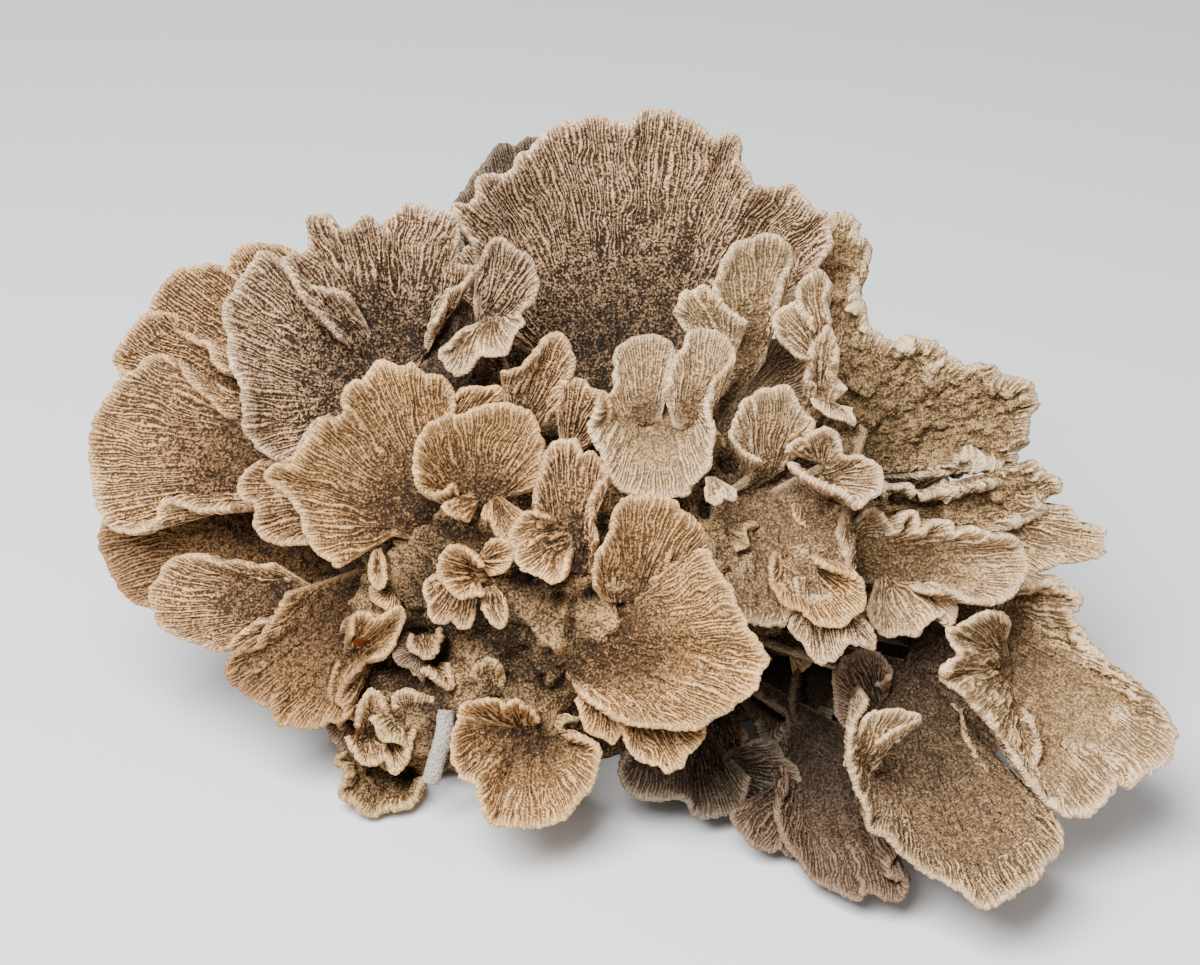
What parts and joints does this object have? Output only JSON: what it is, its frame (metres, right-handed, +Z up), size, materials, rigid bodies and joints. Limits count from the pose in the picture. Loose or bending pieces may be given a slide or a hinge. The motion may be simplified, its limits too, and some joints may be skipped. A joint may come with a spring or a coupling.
{
  "type": "montipora coral colony",
  "caption": "Plating coral colony of ruffled, ridged fan-shaped fronds in tiers on a lumpy base, cut flat underneath so that it rests on a surface.",
  "frame": {"origin": "middle of the flat cut under the base, on the surface the colony rests on", "axes": "+Z up; the front of the colony, with its largest bowls and fans, faces -Y; +X to the right as seen from the front"},
  "size_m": [0.4295, 0.3168, 0.2338],
  "materials": {
    "back_high_left_frond_coral": "dry matt coral skeleton, grey-brown and granular",
    "back_high_right_frond_coral": "dry matt coral skeleton, grey-brown and granular",
    "back_left_frond_coral": "dry matt coral skeleton, grey-brown and granular",
    "back_low_left_frond_coral": "dry matt coral skeleton, grey-brown and granular",
    "back_low_middle_frond_coral": "dry matt coral skeleton, grey-brown and granular",
    "back_low_right_frond_coral": "dry matt coral skeleton, grey-brown and granular",
    "back_middle_frond_coral": "dry matt coral skeleton, grey-brown and granular",
    "back_right_frond_coral": "dry matt coral skeleton, grey-brown and granular",
    "base_coral": "dry matt coral skeleton, grey-brown and granular",
    "bottom_right_bowl_frond_coral": "dry matt coral skeleton, cream ridges over tan",
    "brown_bottom_frond_coral": "dry matt coral skeleton, brown with cream rim",
    "centre_frond_coral": "dry matt coral skeleton, cream ridges over tan",
    "centre_left_frond_coral": "dry matt coral skeleton, cream ridges over tan",
    "front_great_frond_coral": "dry matt coral skeleton, cream ridges over tan",
    "front_rosette_frond_coral": "dry matt coral skeleton, cream ridges over tan",
    "great_back_frond_coral": "dry matt coral skeleton, cream ridges over tan",
    "hanging_shadow_frond_coral": "dry matt coral skeleton, grey-brown and granular",
    "hidden_back_frond_coral": "dry matt coral skeleton, grey-brown and granular",
    "left_bowl_frond_coral": "dry matt coral skeleton, cream ridges over tan",
    "left_crown_frond_coral": "dry matt coral skeleton, cream ridges over tan",
    "left_great_frond_coral": "dry matt coral skeleton, cream ridges over tan",
    "left_high_frond_coral": "dry matt coral skeleton, cream ridges over tan",
    "left_inner_frond_coral": "dry matt coral skeleton, cream ridges over tan",
    "left_low_back_frond_coral": "dry matt coral skeleton, cream ridges over tan",
    "left_low_frond_coral": "dry matt coral skeleton, brown with cream rim",
    "left_upper_frond_coral": "dry matt coral skeleton, cream ridges over tan",
    "middle_slope_frond_coral": "dry matt coral skeleton, cream ridges over tan",
    "outer_right_bowl_frond_coral": "dry matt coral skeleton, cream ridges over tan",
    "right_bowl_frond_coral": "dry matt coral skeleton, cream ridges over tan",
    "right_centre_frond_coral": "dry matt coral skeleton, cream ridges over tan",
    "right_middle_frond_coral": "dry matt coral skeleton, cream ridges over tan",
    "right_scroll_frond_coral": "dry matt coral skeleton, cream ridges over tan",
    "right_slab_frond_coral": "dry matt coral skeleton, brown with cream rim",
    "right_spur_frond_coral": "dry matt coral skeleton, brown with cream rim",
    "right_upper_frond_coral": "dry matt coral skeleton, cream ridges over tan",
    "round_frond_coral": "dry matt coral skeleton, cream ridges over tan",
    "scroll_frond_coral": "dry matt coral skeleton, cream ridges over tan",
    "small_middle_frond_coral": "dry matt coral skeleton, cream ridges over tan",
    "spiny_frond_coral": "dry matt coral skeleton, cream ridges over tan",
    "tongue_frond_coral": "dry matt coral skeleton, cream ridges over tan",
    "two_lobe_frond_coral": "dry matt coral skeleton, cream ridges over tan",
    "tube_chalk": "dry chalky tube"
  },
  "bodies": {
    "root": {"back_high_left_frond": "back_high_left_frond_coral", "back_high_right_frond": "back_high_right_frond_coral", "back_left_frond": "back_left_frond_coral", "back_low_left_frond": "back_low_left_frond_coral", "back_low_middle_frond": "back_low_middle_frond_coral", "back_low_right_frond": "back_low_right_frond_coral", "back_middle_frond": "back_middle_frond_coral", "back_right_frond": "back_right_frond_coral", "base": "base_coral", "bottom_right_bowl_frond": "bottom_right_bowl_frond_coral", "brown_bottom_frond": "brown_bottom_frond_coral", "centre_frond": "centre_frond_coral", "centre_left_frond": "centre_left_frond_coral", "front_great_frond": "front_great_frond_coral", "front_rosette_frond": "front_rosette_frond_coral", "great_back_frond": "great_back_frond_coral", "hanging_shadow_frond": "hanging_shadow_frond_coral", "hidden_back_frond": "hidden_back_frond_coral", "left_bowl_frond": "left_bowl_frond_coral", "left_crown_frond": "left_crown_frond_coral", "left_great_frond": "left_great_frond_coral", "left_high_frond": "left_high_frond_coral", "left_inner_frond": "left_inner_frond_coral", "left_low_back_frond": "left_low_back_frond_coral", "left_low_frond": "left_low_frond_coral", "left_upper_frond": "left_upper_frond_coral", "middle_slope_frond": "middle_slope_frond_coral", "outer_right_bowl_frond": "outer_right_bowl_frond_coral", "right_bowl_frond": "right_bowl_frond_coral", "right_centre_frond": "right_centre_frond_coral", "right_middle_frond": "right_middle_frond_coral", "right_scroll_frond": "right_scroll_frond_coral", "right_slab_frond": "right_slab_frond_coral", "right_spur_frond": "right_spur_frond_coral", "right_upper_frond": "right_upper_frond_coral", "round_frond": "round_frond_coral", "scroll_frond": "scroll_frond_coral", "small_middle_frond": "small_middle_frond_coral", "spiny_frond": "spiny_frond_coral", "tongue_frond": "tongue_frond_coral", "two_lobe_frond": "two_lobe_frond_coral", "worm_tube": "tube_chalk"}
  },
  "joints": []
}
